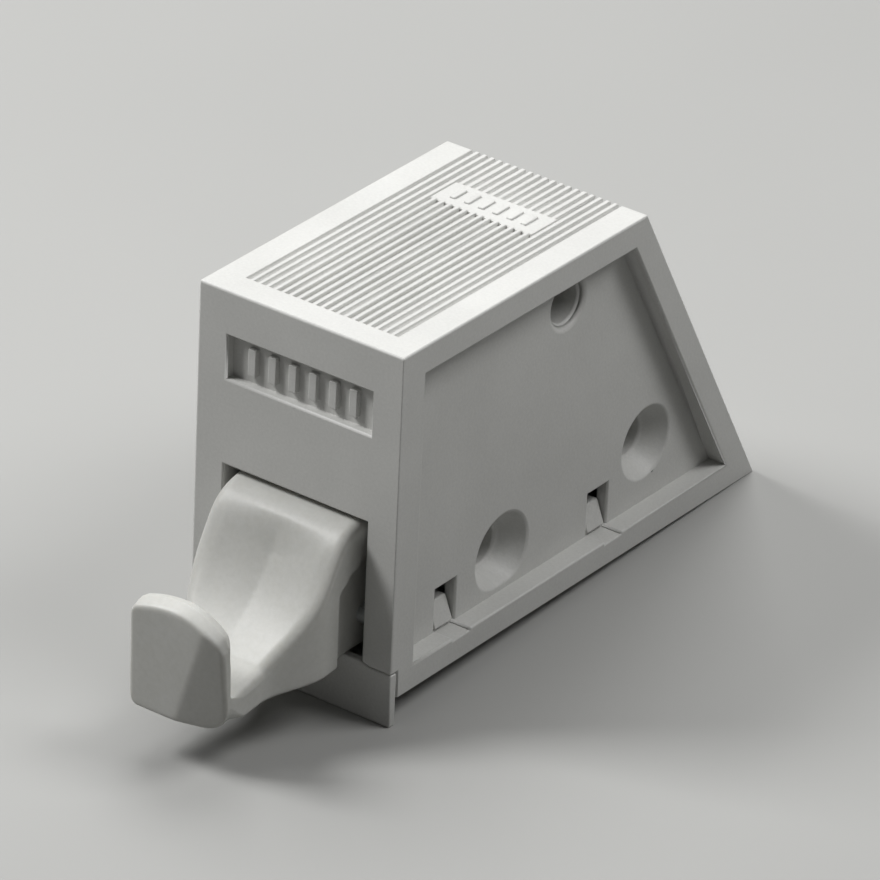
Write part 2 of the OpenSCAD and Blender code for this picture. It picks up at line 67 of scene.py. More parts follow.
# Edges shorter than this are closed before a bevel, in millimetres
TINY_EDGE = 0.03
# Faces that turn by less than this lie on one flat
FLAT_ANGLE = math.radians(0.5)
# Outward edges that turn by more than this are eased
EASED_ANGLE = math.radians(35)
# Edges of a modelled surface that turn by more than this stay sharp
SHARP_ANGLE = math.radians(38)
log = logging.getLogger("push_catch")


class Body(str, Enum):
    """The moving groups of the catch."""

    HOUSING = "body"
    LEVER = "lever"
    SLIDE = "slide"
    FOLLOWER = "follower"


class Slot(str, Enum):
    """The record's material slots."""

    HOUSING = "housing_plastic"
    BASE = "base_plastic"
    LEVER = "lever_plastic"
    SLIDE = "slide_plastic"
    STEEL = "steel"
    SPRING = "spring_steel"


def linear(colour: str) -> tuple[float, float, float, float]:
    """Turn an sRGB hex colour into linear light.

    Args:
        colour: Six hex digits after a hash sign.

    Returns:
        Red, green, blue and an alpha of one.
    """
    parts = np.array([int(colour[i : i + 2], 16) for i in (1, 3, 5)]) / 255
    low = parts / 12.92
    high = ((parts + 0.055) / 1.055) ** 2.4
    red, green, blue = np.where(parts <= 0.04045, low, high)
    return float(red), float(green), float(blue), 1.0


def add_node(
    tree: bpy.types.NodeTree,
    kind: str,
    settings: dict[str, object] | None = None,
    inputs: dict[str, object] | None = None,
) -> bpy.types.Node:
    """Add one node, set it up and link or fill its sockets.

    Args:
        tree: The node tree that gets the node.
        kind: The node's type name.
        settings: Values for the node's own properties.
        inputs: For each socket name, a plain value or the output socket that feeds it.

    Returns:
        The new node.
    """
    node = tree.nodes.new(kind)
    for name, value in (settings or {}).items():
        setattr(node, name, value)
    for name, value in (inputs or {}).items():
        if isinstance(value, bpy.types.NodeSocket):
            tree.links.new(value, node.inputs[name])
        else:
            node.inputs[name].default_value = value
    return node


def start_material(
    name: str,
) -> tuple[bpy.types.Material, bpy.types.NodeTree, bpy.types.Node, bpy.types.NodeSocket]:
    """Start a material whose patterns keep their size on the piece.

    Args:
        name: The material's name.

    Returns:
        The material, its tree, its shader and the socket of the piece's own places.
    """
    material = bpy.data.materials.new(name)
    material.use_nodes = True
    tree = material.node_tree
    shader = tree.nodes["Principled BSDF"]
    place = add_node(tree, "ShaderNodeTexCoord").outputs["Object"]
    return material, tree, shader, place


@dataclass(frozen=True)
class MouldedPlastic:
    """A moulded plastic whose skin copies the eroded or polished face of its mould.

    The fine grain gives a soft, even sheen with no mirror image, and a slow change of
    tone over some millimetres comes from how the melt flowed.
    """

    name: str
    tone: str
    deep_tone: str
    roughness: float
    grain_mm: float
    grain_height_mm: float
    flow_mm: float
    ior: float = 1.53
    glow_mm: float = 0.0

    def make(self) -> bpy.types.Material:
        """Build the material's nodes.

        Returns:
            The finished material.
        """
        material, tree, shader, place = start_material(self.name)
        flow = add_node(
            tree,
            "ShaderNodeTexNoise",
            inputs={"Vector": place, "Scale": 1 / (self.flow_mm * MM), "Detail": 3.0},
        )
        grain = add_node(
            tree,
            "ShaderNodeTexNoise",
            inputs={
                "Vector": place,
                "Scale": 1 / (self.grain_mm * MM),
                "Detail": 2.0,
                "Roughness": 0.6,
            },
        )
        share = add_node(
            tree,
            "ShaderNodeMath",
            {"operation": "ADD"},
            {0: flow.outputs["Fac"], 1: grain.outputs["Fac"]},
        )
        tone = add_node(
            tree,
            "ShaderNodeMapRange",
            inputs={"Value": share.outputs[0], "From Min": 0.7, "From Max": 1.3},
        )
        colour = add_node(
            tree,
            "ShaderNodeMix",
            {"data_type": "RGBA"},
            {"Factor": tone.outputs["Result"]},
        )
        colour.inputs[6].default_value = linear(self.deep_tone)
        colour.inputs[7].default_value = linear(self.tone)
        gloss = add_node(
            tree,
            "ShaderNodeMapRange",
            inputs={
                "Value": flow.outputs["Fac"],
                "From Min": 0.3,
                "From Max": 0.7,
                "To Min": self.roughness * 0.92,
                "To Max": self.roughness * 1.08,
            },
        )
        bump = add_node(
            tree,
            "ShaderNodeBump",
            inputs={
                "Height": grain.outputs["Fac"],
                "Distance": self.grain_height_mm * MM,
                "Strength": 1.0,
            },
        )
        tree.links.new(colour.outputs[2], shader.inputs["Base Color"])
        tree.links.new(gloss.outputs["Result"], shader.inputs["Roughness"])
        tree.links.new(bump.outputs["Normal"], shader.inputs["Normal"])
        shader.inputs["IOR"].default_value = self.ior
        if self.glow_mm:
            shader.inputs["Subsurface Weight"].default_value = 0.35
            shader.inputs["Subsurface Scale"].default_value = self.glow_mm * MM
            shader.inputs["Subsurface Radius"].default_value = (1.0, 0.9, 0.8)
        return material


@dataclass(frozen=True)
class DrawnSteel:
    """Steel drawn through a die, with or without a thin zinc plating.

    The die leaves fine lines along the wire, which spread the shine round it.
    """

    name: str
    tone: str
    roughness: float
    line_mm: float
    along: tuple[float, float, float]

    def make(self) -> bpy.types.Material:
        """Build the material's nodes.

        Returns:
            The finished material.
        """
        material, tree, shader, place = start_material(self.name)
        stretch = add_node(
            tree,
            "ShaderNodeMapping",
            inputs={"Vector": place, "Scale": tuple(1 - 0.96 * a for a in self.along)},
        )
        lines = add_node(
            tree,
            "ShaderNodeTexNoise",
            inputs={
                "Vector": stretch.outputs["Vector"],
                "Scale": 1 / (self.line_mm * MM),
                "Detail": 2.0,
            },
        )
        gloss = add_node(
            tree,
            "ShaderNodeMapRange",
            inputs={
                "Value": lines.outputs["Fac"],
                "From Min": 0.3,
                "From Max": 0.7,
                "To Min": self.roughness * 0.8,
                "To Max": self.roughness * 1.2,
            },
        )
        bump = add_node(
            tree,
            "ShaderNodeBump",
            inputs={"Height": lines.outputs["Fac"], "Distance": 0.004 * MM},
        )
        tree.links.new(gloss.outputs["Result"], shader.inputs["Roughness"])
        tree.links.new(bump.outputs["Normal"], shader.inputs["Normal"])
        shader.inputs["Base Color"].default_value = linear(self.tone)
        shader.inputs["Metallic"].default_value = 1.0
        return material


# ABS, moulded against a fine spark-eroded face: matt, with a grain that just shows
HOUSING_ABS = MouldedPlastic(
    "abs_matt_grey", "#C8C8C5", "#BEBEBB", 0.52, 0.28, 0.012, 9.0
)
# The same ABS from another mould, a shade deeper
BASE_ABS = MouldedPlastic(
    "abs_matt_grey_base", "#C3C3C0", "#B8B8B5", 0.5, 0.3, 0.012, 7.0
)
# POM, moulded against a polished face: waxy, a little translucent, with a soft shine
LEVER_POM = MouldedPlastic(
    "pom_satin_light", "#C1C1BD", "#B9B9B4", 0.46, 0.5, 0.008, 5.0, 1.48, 0.8
)
# POM in its natural ivory, as inner moving pieces have it
SLIDE_POM = MouldedPlastic(
    "pom_natural_ivory", "#D3CDB8", "#C8C1AA", 0.34, 0.4, 0.006, 6.0, 1.48, 0.6
)
# Steel pins under bright zinc plating
ZINC_STEEL = DrawnSteel("steel_zinc_plated", "#C3C6C8", 0.3, 0.12, (1.0, 0.0, 0.0))
# Spring wire and strip as drawn, darker and smoother
SPRING_STEEL = DrawnSteel("spring_steel_drawn", "#B4B6B8", 0.26, 0.1, (0.0, 1.0, 0.0))


def settle(
    piece: bpy.types.Object,
    material: bpy.types.Material,
    body: Body,
    slot: Slot,
    *nodes: str,
) -> bpy.types.Object:
    """Give a new piece its finish and its place in the frame.

    Args:
        piece: The new piece.
        material: Its finish.
        body: The moving group that carries it.
        slot: The record's slot that its finish stands for. Not used.
        nodes: The solids that it takes the place of.

    Returns:
        The same piece.
    """
    piece.data.materials.clear()
    piece.data.materials.append(material)
    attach(piece, body.value)
    if nodes:
        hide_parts(*nodes)
    log.info("%s: %d faces", piece.name, len(piece.data.polygons))
    return piece


def add_object(name: str, data: bpy.types.ID) -> bpy.types.Object:
    """Make an object from a mesh, a lamp or a camera and put it into the scene."""
    made = bpy.data.objects.new(name, data)
    bpy.context.scene.collection.objects.link(made)
    return made


def grid_faces(
    rows: int, columns: int, wrap_rows: bool, wrap_columns: bool
) -> np.ndarray:
    """Number the quads of a grid of points.

    Args:
        rows: Points along the first parameter.
        columns: Points along the second parameter.
        wrap_rows: Whether the last row joins the first.
        wrap_columns: Whether the last column joins the first.

    Returns:
        Four point numbers for each quad.
    """
    index = np.arange(rows * columns).reshape(rows, columns)
    if wrap_rows:
        index = np.vstack([index, index[:1]])
    if wrap_columns:
        index = np.hstack([index, index[:, :1]])
    corners = [index[:-1, :-1], index[:-1, 1:], index[1:, 1:], index[1:, :-1]]
    return np.stack(corners, axis=-1).reshape(-1, 4)


def surface(
    name: str,
    points: np.ndarray,
    wrap_rows: bool = False,
    wrap_columns: bool = True,
    capped: bool = True,
) -> bpy.types.Object:
    """Make a mesh piece from a grid of points.

    Args:
        name: The piece's name.
        points: Places in millimetres, as rows by columns by three.
        wrap_rows: Whether the last row joins the first.
        wrap_columns: Whether the last column joins the first.
        capped: Whether the first and last rows are closed with one face each.

    Returns:
        The piece, with doubles merged and its faces outward.
    """
    rows, columns, _ = points.shape
    faces = grid_faces(rows, columns, wrap_rows, wrap_columns).tolist()
    if capped and not wrap_rows:
        faces.append(list(range(columns)))
        faces.append(list(range(rows * columns - 1, (rows - 1) * columns - 1, -1)))
    mesh = bpy.data.meshes.new(name)
    mesh.from_pydata((points.reshape(-1, 3) * MM).tolist(), [], faces)
    work = bmesh.new()
    work.from_mesh(mesh)
    bmesh.ops.remove_doubles(work, verts=work.verts, dist=DOUBLE * MM)
    bmesh.ops.dissolve_degenerate(work, edges=work.edges, dist=DOUBLE * MM)
    bmesh.ops.recalc_face_normals(work, faces=work.faces)
    work.to_mesh(mesh)
    work.free()
    mesh.shade_smooth()
    mesh.set_sharp_from_angle(angle=SHARP_ANGLE)
    return add_object(name, mesh)


def lengths_along(path: np.ndarray) -> np.ndarray:
    """Measure a path from its start to each of its points."""
    steps = np.linalg.norm(np.diff(path, axis=0), axis=1)
    return np.concatenate([[0], np.cumsum(steps)])


def read_along(path: np.ndarray, lengths: np.ndarray, at: np.ndarray) -> np.ndarray:
    """Read a path where its length has the given values, one point a row."""
    return np.stack([np.interp(at, lengths, column) for column in path.T], 1)


def soften(path: np.ndarray, radius: float, step: float = 0.08) -> np.ndarray:
    """Round every corner of a path alike.

    The path is sampled evenly by its length, and each sample becomes the mean of its
    neighbours under a bell curve whose width is half the radius. The ends stay.

    Args:
        path: Corner points, one a row.
        radius: About the radius that a right corner gets, in millimetres.
        step: Distance between samples, in millimetres.

    Returns:
        The smooth path, one point a row.
    """
    lengths = lengths_along(path)
    count = max(8, int(lengths[-1] / step))
    at = np.linspace(0, lengths[-1], count)
    dense = read_along(path, lengths, at)
    width = radius / 2 / (at[1] - at[0])
    reach = int(3 * width) + 1
    bell = np.exp(-0.5 * (np.arange(-reach, reach + 1) / width) ** 2)
    bell /= bell.sum()
    before = 2 * dense[0] - dense[reach:0:-1]
    after = 2 * dense[-1] - dense[-2 : -reach - 2 : -1]
    padded = np.vstack([before, dense, after])
    return np.stack([np.convolve(column, bell, "valid") for column in padded.T], 1)


def at_shares(path: np.ndarray, shares: np.ndarray) -> np.ndarray:
    """Read a path at shares of its length.

    Args:
        path: The path, one point a row.
        shares: Values from zero to one.

    Returns:
        One point for each share.
    """
    lengths = lengths_along(path)
    lengths /= lengths[-1]
    return read_along(path, lengths, shares)


def nearest_share(path: np.ndarray, point: tuple[float, float]) -> float:
    """Find the share of a path's length that lies nearest to a point.

    Args:
        path: The path, one point a row.
        point: The point.

    Returns:
        The share, from zero to one.
    """
    lengths = lengths_along(path)
    near = np.argmin(np.linalg.norm(path - np.array(point), axis=1))
    return float(lengths[near] / lengths[-1])


def smooth_step(value: np.ndarray, low: float, high: float) -> np.ndarray:
    """Rise from zero at low to one at high along a cubic with level ends."""
    share = np.clip((value - low) / (high - low), 0, 1)
    return share * share * (3 - 2 * share)


def read_places(mesh: bpy.types.Mesh) -> np.ndarray:
    """Read a mesh's points in millimetres, one a row."""
    places = np.empty(len(mesh.vertices) * 3)
    mesh.vertices.foreach_get("co", places)
    return places.reshape(-1, 3) / MM


def write_places(mesh: bpy.types.Mesh, places: np.ndarray) -> None:
    """Give a mesh new places for its points, in millimetres, one a row."""
    mesh.vertices.foreach_set("co", (places * MM).ravel())


def joined_copy(node: str, name: str) -> bpy.types.Mesh:
    """Copy a solid's mesh and join its loose triangles.

    Args:
        node: The solid to copy.
        name: The new mesh's name.

    Returns:
        The copy.
    """
    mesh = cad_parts[node].data.copy()
    mesh.name = name
    work = bmesh.new()
    work.from_mesh(mesh)
    bmesh.ops.remove_doubles(work, verts=work.verts, dist=2 * DOUBLE * MM)
    work.to_mesh(mesh)
    work.free()
    return mesh


def eased(
    mesh: bpy.types.Mesh,
    name: str,
    width_mm: float,
    fine_share: float = 1.0,
    fine_boxes: tuple[tuple[float, ...], ...] = (),
) -> bpy.types.Object:
    """Make a piece from a mesh and ease its outer edges.

    Tiny edges are closed and flat stretches become single faces first. Each sharp
    outward edge is then rounded over by a bevel, with a finer one inside the boxes of
    fine detail.

    Args:
        mesh: The mesh, with its triangles joined.
        name: The new piece's name.
        width_mm: Width of the eased edges.
        fine_share: Share of that width that the fine detail gets.
        fine_boxes: Lowest X, Y, Z and highest X, Y, Z of each box, in millimetres.

    Returns:
        The new piece.
    """
    work = bmesh.new()
    work.from_mesh(mesh)
    bmesh.ops.remove_doubles(work, verts=work.verts, dist=TINY_EDGE * MM)
    bmesh.ops.dissolve_limit(
        work, angle_limit=FLAT_ANGLE, verts=work.verts, edges=work.edges
    )
    weight = work.edges.layers.float.new("bevel_weight_edge")
    for edge in work.edges:
        if len(edge.link_faces) == 2 and edge.calc_face_angle_signed(0) > EASED_ANGLE:
            middle = np.array((edge.verts[0].co + edge.verts[1].co) / 2) / MM
            fine = any(
                np.all(middle > box[:3]) and np.all(middle < box[3:]) for box in fine_boxes
            )
            edge[weight] = fine_share if fine else 1.0
    work.to_mesh(mesh)
    work.free()
    mesh.shade_smooth()
    mesh.set_sharp_from_angle(angle=EASED_ANGLE)
    piece = add_object(name, mesh)
    bevel = piece.modifiers.new("eased_edges", "BEVEL")
    bevel.width = width_mm * MM
    bevel.segments = 2
    bevel.limit_method = "WEIGHT"
    bevel.use_clamp_overlap = False
    even = piece.modifiers.new("flats_stay_flat", "WEIGHTED_NORMAL")
    even.mode = "FACE_AREA"
    even.weight = 100
    even.keep_sharp = True
    return piece


@dataclass(frozen=True)
class Sink:
    """A screw head's sink: its place, and the rings it has and gets.

    Each ring is a radius and a depth below the sunk side.
    """

    y: float
    z: float
    mouth_r: float
    floor_depth: float
    new_mouth_r: float
    new_floor: tuple[float, float]
    new_bore_depth: float
    bore_r: float = 2.1

    def turn_conical(self, places: np.ndarray, side_x: float) -> None:
        """Move a sink's rings so that its wall becomes a cone down to the bore.

        A point that lies at the mouth's radius keeps its direction from the axis and
        gets the new radius; on the floor it also gets the new depth.

        Args:
            places: Points in millimetres, one a row, changed in place.
            side_x: Distance of the sunk side from the middle.
        """
        away = places[:, 1:] - (self.y, self.z)
        radius = np.linalg.norm(away, axis=1)
        depth = side_x - np.abs(places[:, 0])
        sign = np.sign(places[:, 0])
        on_wall = np.abs(radius - self.mouth_r) < NEAR
        on_floor = np.abs(depth - self.floor_depth) < NEAR
        new_r = np.where(on_floor, self.new_floor[0], self.new_mouth_r)
        in_sink = on_wall & (depth < self.floor_depth + 5 * NEAR)
        scale = np.where(in_sink, new_r / radius, 1.0)
        places[:, 1:] = (self.y, self.z) + away * scale[:, None]
        rim = on_floor & on_wall
        bore = on_floor & (np.abs(radius - self.bore_r) < NEAR)
        places[rim, 0] = sign[rim] * (side_x - self.new_floor[1])
        places[bore, 0] = sign[bore] * (side_x - self.new_bore_depth)


@dataclass
class Housing:
    """The moulded housing: grooved top, sunk sides, screw bores and the opening."""

    edge: float = 0.2
    fine_share: float = 0.5
    grooves: tuple[float, ...] = (-8.5, 2.5, 33.6, 8.5, 60.0, 40.0)
    label: tuple[float, ...] = (-7.9, 0.3, 25.6, 7.9, 1.1, 29.7)
    side_x: float = 9.2
    rim_x: float = 11.2
    ledge_z: float = 2.45
    slot_x: float = 8.5
    slot_z: float = 2.35
    new_slot_z: float = 2.15
    fillet: float = 1.8
    recess_front: float = 3.4
    recess_rear: float = 52.5
    rake: float = 19.7 / 34.2
    overrun: tuple[float, float] = (1.0, 0.05)
    front_sink: Sink = Sink(18.8, 6.35, 4.0, 3.0, 3.89, (2.6, 2.2), 2.5)
    rear_sink: Sink = Sink(40.6, 8.5, 4.0, 3.0, 3.65, (2.45, 2.0), 2.25)
    upper_sink: Sink = Sink(27.2, 28.1, 2.8, 1.2, 2.7, (2.25, 0.45), 0.5)

    def open_corner(self, shell: bpy.types.Object, side: int) -> None:
        """Cut the corner between a sunk side and its lower rim square.

        Args:
            shell: The housing, to which the cut is applied.
            side: 1 for the right side and -1 for the left side.
        """
        low, high = self.ledge_z, self.ledge_z + self.fillet + self.overrun[1]
        rear_low = self.recess_rear - self.rake * low
        rear_high = self.recess_rear - self.rake * high
        outline = [(self.recess_front, low), (rear_low, low), (rear_high, high)]
        outline.append((self.recess_front, high))
        depths = (self.side_x, self.rim_x + self.overrun[0])
        rows = [[(side * x, y, z) for y, z in outline] for x in depths]
        cutter = surface(f"corner_cut_{side}", np.array(rows))
        cut = shell.modifiers.new("open_corner", "BOOLEAN")
        cut.operation = "DIFFERENCE"
        cut.solver = "EXACT"
        cut.object = cutter
        made = shell.evaluated_get(bpy.context.evaluated_depsgraph_get())
        mesh = bpy.data.meshes.new_from_object(made)
        shell.modifiers.clear()
        shell.data = mesh
        bpy.data.objects.remove(cutter)

    def build(self) -> None:
        """Make the housing with conical sinks, square corners and eased edges."""
        mesh = joined_copy("housing", "housing_shell")
        places = read_places(mesh)
        for sink in (self.front_sink, self.rear_sink, self.upper_sink):
            sink.turn_conical(places, self.side_x)
        slot = np.abs(places[:, 2] - self.slot_z) < NEAR
        slot &= np.abs(places[:, 0]) > self.slot_x
        places[slot, 2] = self.new_slot_z
        write_places(mesh, places)
        blank = add_object("housing_blank", mesh)
        for side in (1, -1):
            self.open_corner(blank, side)
        mesh = blank.data
        bpy.data.objects.remove(blank)
        boxes = (self.grooves, self.label)
        shell = eased(mesh, "housing_shell", self.edge, self.fine_share, boxes)
        settle(shell, HOUSING_ABS.make(), Body.HOUSING, Slot.HOUSING, "housing")


@dataclass
class Base:
    """The clipped base with the flange across the front."""

    edge: float = 0.12
    clip_x: float = 6.0
    clip_top: float = 6.148
    new_clip_top: float = 4.9

    def build(self) -> None:
        """Make the base with eased edges and low clips that show under their windows."""
        mesh = joined_copy("base_plate", "base_with_flange")
        places = read_places(mesh)
        top = np.abs(places[:, 2] - self.clip_top) < NEAR
        top &= np.abs(places[:, 0]) > self.clip_x
        places[top, 2] = self.new_clip_top
        write_places(mesh, places)
        plate = eased(mesh, "base_with_flange", self.edge)
        settle(plate, BASE_ABS.make(), Body.HOUSING, Slot.BASE, "base_plate")


@dataclass
class Lever:
    """The hooked lever: hood, hollow face with its valley, tongue and faceted hook."""

    pivot: tuple[float, float] = (2.1, 6.5)
    hood_r: float = 10.2
    crest_angle: float = 26.0
    crest_r: float = 3.2
    hood_back_angle: float = 6.5
    hub_r: float = 3.3
    fold: tuple[float, float] = (-10.1, 5.4)
    face_sag: float = 1.0
    root: tuple[float, float] = (-14.45, 4.6)
    hook_back_y: float = -14.5
    hook_front_y: float = -16.75
    hook_bottom_y: float = -16.5
    hook_top_z: float = 12.6
    hook_front_top_z: float = 12.1
    tip_back: float = 0.95
    tip_drop: float = 0.15
    path_r: tuple[float, float] = (0.5, 0.6)
    hub_shares: tuple[float, float] = (0.11, 0.6)
    chin: tuple[float, float] = (-2.1, 2.9)
    nose_bottom: tuple[float, float] = (-13.2, 1.7)
    tip_bottom_z: float = 1.05
    half_nose: float = 4.98
    half_opening: float = 7.2
    flare_start_y: float = -10.6
    flare_end_y: float = -3.9
    waist: float = 0.8
    waist_y: float = -2.6
    waist_shift: float = 5.0
    waist_rise: tuple[float, float] = (10.0, 14.0)
    waist_turn: float = 0.7
    valley_depth: float = 1.25
    valley_reach: float = 5.3
    valley_foot: float = 0.08
    valley_start: tuple[float, float] = (1.7, 3.3)
    valley_end: float = 9.7
    valley_run: float = 6.4
    hook_fade: tuple[float, float] = (0.6, 0.2)
    low_corner_r: float = 2.3
    left_corner_r: float = 1.0
    corner_y: tuple[float, float] = (12.6, 15.2)
    corner_z: tuple[float, float] = (1.0, 6.0)
    facet_slope: float = 0.28
    facet_top_x: float = 3.1
    facet_height: float = 9.9
    facet_turn: float = 0.25
    facet_fade: tuple[float, float] = (0.2, 0.15)
    arch: float = 0.045
    right_arch: float = 0.05
    arch_from_z: float = 6.5
    edge_drop: float = 0.4
    edge_width: float = 0.8
    top_edge_r: float = 1.05
    bottom_edge_r: float = 0.45
    arm_r: tuple[float, float] = (1.7, 1.6)
    arm_half: float = 2.8
    arm_ease: float = 0.25
    arm_hole_r: float = 1.02
    stations: tuple[float, ...] = (0.0, 0.16, 0.5, 0.68, 0.76, 1.0)
    crowding: float = 1.15
    heel: tuple[float, float] = (0.6, 0.8)
    under_fold: tuple[float, float] = (0.5, 2.2)
    under_root: tuple[float, float] = (0.9, 1.4)
    under_tip: tuple[float, float] = (0.25, 2.2)
    rows: int = 260
    top_points: int = 49
    flank_points: int = 25
    corner_points: int = 9

    def tip(self) -> tuple[float, float]:
        """Y and Z of the hook's tip, where the upper and the lower path meet."""
        return self.hook_back_y - self.tip_back, self.hook_top_z

    def upper_path(self) -> np.ndarray:
        """Trace the upper side: hood, hollow face, tongue and back of the hook.

        The hood is an arc about the pivot. The face is the straight line from crest to
        fold less a parabola of depth face_sag. Straight lines follow to the hook's tip.

        Returns:
            Y and Z of the path, one point a row.
        """
        pivot = np.array(self.pivot)
        angles = np.radians(np.linspace(-self.hood_back_angle, self.crest_angle, 40))
        hood = pivot + self.hood_r * np.stack([-np.sin(angles), np.cos(angles)], 1)
        crest, fold = hood[-1], np.array(self.fold)
        share = np.linspace(0, 1, 80)[1:, None]
        along = (crest - fold) / np.linalg.norm(crest - fold)
        inward = np.array([along[1], -along[0]])
        face = crest * (1 - share) + fold * share
        face = face + inward * self.face_sag * 4 * share * (1 - share)
        back = (self.hook_back_y, self.hook_top_z - self.tip_drop)
        turned = soften(np.vstack([hood, face]), self.crest_r)
        ends = [self.root, back, self.tip()]
        return soften(np.vstack([turned, ends]), self.path_r[0])

    def lower_path(self) -> np.ndarray:
        """Trace the lower side: hub, underside, foot and front of the hook.

        Returns:
            Y and Z of the path, one point a row.
        """
        hub_z = self.pivot[1] - self.hub_r
        corners = [
            (self.pivot[0] + self.hood_r * self.hub_shares[0], hub_z),
            (self.pivot[0] - self.hub_r * self.hub_shares[1], hub_z),
            self.chin,
            self.nose_bottom,
            (self.hook_bottom_y, self.tip_bottom_z),
            (self.hook_front_y, self.hook_front_top_z),
            self.tip(),
        ]
        return soften(np.array(corners), self.path_r[1])

    def facing_paths(self) -> tuple[np.ndarray, np.ndarray]:
        """Read the upper and the lower path row by row, so that their turns face.

        The stations are shares of the rows. Both paths pass a turn of theirs at each:
        crest and chin, fold and underside, root and foot, and the two sides of the
        hook. The rows lie closer together towards the hook's tip.

        Returns:
            Y and Z on the upper path and on the lower path, one row each.
        """
        upper, lower = self.upper_path(), self.lower_path()
        lean = math.radians(self.crest_angle)
        above = (
            (
                self.pivot[0] - self.hood_r * math.sin(lean),
                self.pivot[1] + self.hood_r * math.cos(lean),
            ),
            self.fold,
            (self.root[0] + self.heel[0], self.root[1]),
            (self.hook_back_y, self.root[1] + self.heel[1]),
        )
        below = (
            self.chin,
            (self.fold[0] + self.under_fold[0], self.under_fold[1]),
            (self.hook_bottom_y + self.under_root[0], self.under_root[1]),
            (self.hook_front_y + self.under_tip[0], self.under_tip[1]),
        )
        upper_keys = [0, *(nearest_share(upper, place) for place in above), 1]
        lower_keys = [0, *(nearest_share(lower, place) for place in below), 1]
        u = 1 - (1 - np.linspace(0, 1, self.rows)) ** self.crowding
        top = at_shares(upper, np.interp(u, self.stations, upper_keys))
        low = at_shares(lower, np.interp(u, self.stations, lower_keys))
        return top, low

    def half_width(self, y: np.ndarray) -> np.ndarray:
        """Half the width at each Y: straight nose, S-shaped flare, then level again."""
        share = smooth_step(y, self.flare_start_y, self.flare_end_y)
        return self.half_nose + (self.half_opening - self.half_nose) * share

    def ring(self) -> tuple[np.ndarray, np.ndarray, np.ndarray, np.ndarray, np.ndarray]:
        """Lay out the points round one section, a rectangle with round corners.

        Each point has a place on the inner rectangle, from -1 to 1 across and up, and a
        direction in which the corner radius is added. The last array is 1 on the upper
        side and 0 on the lower side.

        Returns:
            Across, up, outward across, outward up, and the upper share.
        """
        top = np.linspace(-1, 1, self.top_points)
        side = np.linspace(1, -1, self.flank_points)
        turn = np.radians(np.linspace(90, 0, self.corner_points))[1:-1]
        one_t, one_s, one_c = np.ones_like(top), np.ones_like(side), np.ones_like(turn)
        across = [top, one_c, one_s, one_c, top[::-1], -one_c, -one_s, -one_c]
        up = [one_t, one_c, side, -one_c, -one_t, -one_c, side[::-1], one_c]
        out_x = [0 * top, np.cos(turn), one_s, np.cos(turn[::-1]), 0 * top]
        out_x += [-np.cos(turn), -one_s, -np.cos(turn[::-1])]
        out_up = [one_t, np.sin(turn), 0 * side, -np.sin(turn[::-1]), -one_t]
        out_up += [-np.sin(turn), 0 * side, np.sin(turn[::-1])]
        high = [one_t, one_c, (side + 1) / 2, 0 * turn, 0 * top]
        high += [0 * turn, (side[::-1] + 1) / 2, one_c]
        joined = [np.concatenate(part) for part in (across, up, out_x, out_up, high)]
        return tuple(joined)

    def body_points(self) -> np.ndarray:
        """Work out the lever's skin as one closed tube of rounded sections.

        Section u spans the lower and the upper path at matching shares of their length,
        and v runs round it. Behind the flanks the section steps in to a waist. Then the
        face sinks towards the middle as a V with a soft foot, deepest below the crest.
        The hook's top is arched as a parabola, steeper on its right half, its lower
        corners are arcs, and its front falls back in one flat facet on the right.

        Returns:
            Places in millimetres, as rows by columns by three.
        """
        top, low = self.facing_paths()
        across, up, out_x, out_up, high = self.ring()
        middle, half = (top + low) / 2, (top - low) / 2
        half_len = np.maximum(np.linalg.norm(half, axis=1), 1e-6)[:, None]
        direction = half / half_len
        radius = self.bottom_edge_r + (self.top_edge_r - self.bottom_edge_r) * high
        radius = np.minimum(radius[None, :], half_len * 0.9)
        rise = up * (half_len - radius) + out_up * radius
        y = middle[:, :1] + direction[:, :1] * rise
        z = middle[:, 1:] + direction[:, 1:] * rise
        width = self.half_width(y)
        behind = y - self.waist_y - self.waist_shift * smooth_step(z, *self.waist_rise)
        width = width - self.waist * smooth_step(behind, 0.0, self.waist_turn)
        x = across * (width - radius) + out_x * radius
        foot = np.sqrt(x**2 + self.valley_foot**2) - self.valley_foot
        fade = np.clip((self.valley_end + y) / self.valley_run, 0, 1) * (out_up > 0.5)
        fade = smooth_step(-y, *self.valley_start) * fade
        sink = self.valley_depth * np.clip(1 - foot / self.valley_reach, 0, 1) * fade
        y = y - direction[:, :1] * sink
        z = z - direction[:, 1:] * sink
        before, after = self.hook_fade
        hook = smooth_step(-y, -self.root[0] - before, -self.root[0] + after)
        tall = smooth_step(z, self.arch_from_z, self.hook_top_z)
        brim = smooth_step(np.abs(x), self.half_nose - self.edge_width, self.half_nose)
        bow = self.arch * x**2 + self.right_arch * np.maximum(x, 0) ** 2
        z = z - hook * tall * (bow + self.edge_drop * brim**2)
        corner_r = np.where(x > 0, self.low_corner_r, self.left_corner_r)
        reach = np.clip((np.abs(x) - self.half_nose + corner_r) / corner_r, 0, 0.995)
        low_lift = corner_r * (1 - np.sqrt(1 - reach**2))
        near_foot = 1 - smooth_step(z, *self.corner_z)
        z = z + smooth_step(-y, *self.corner_y) * near_foot * low_lift
        height = np.clip((z - self.tip_bottom_z) / self.facet_height, 0, 1)
        beyond = x - self.facet_top_x * height
        fall = self.facet_slope * (beyond + np.sqrt(beyond**2 + self.facet_turn**2)) / 2
        before, after = self.facet_fade
        front = 1 - smooth_step(y, self.hook_front_y + before, self.hook_back_y - after)
        y = y + fall * front * hook
        return np.stack([x, y, z], axis=-1)

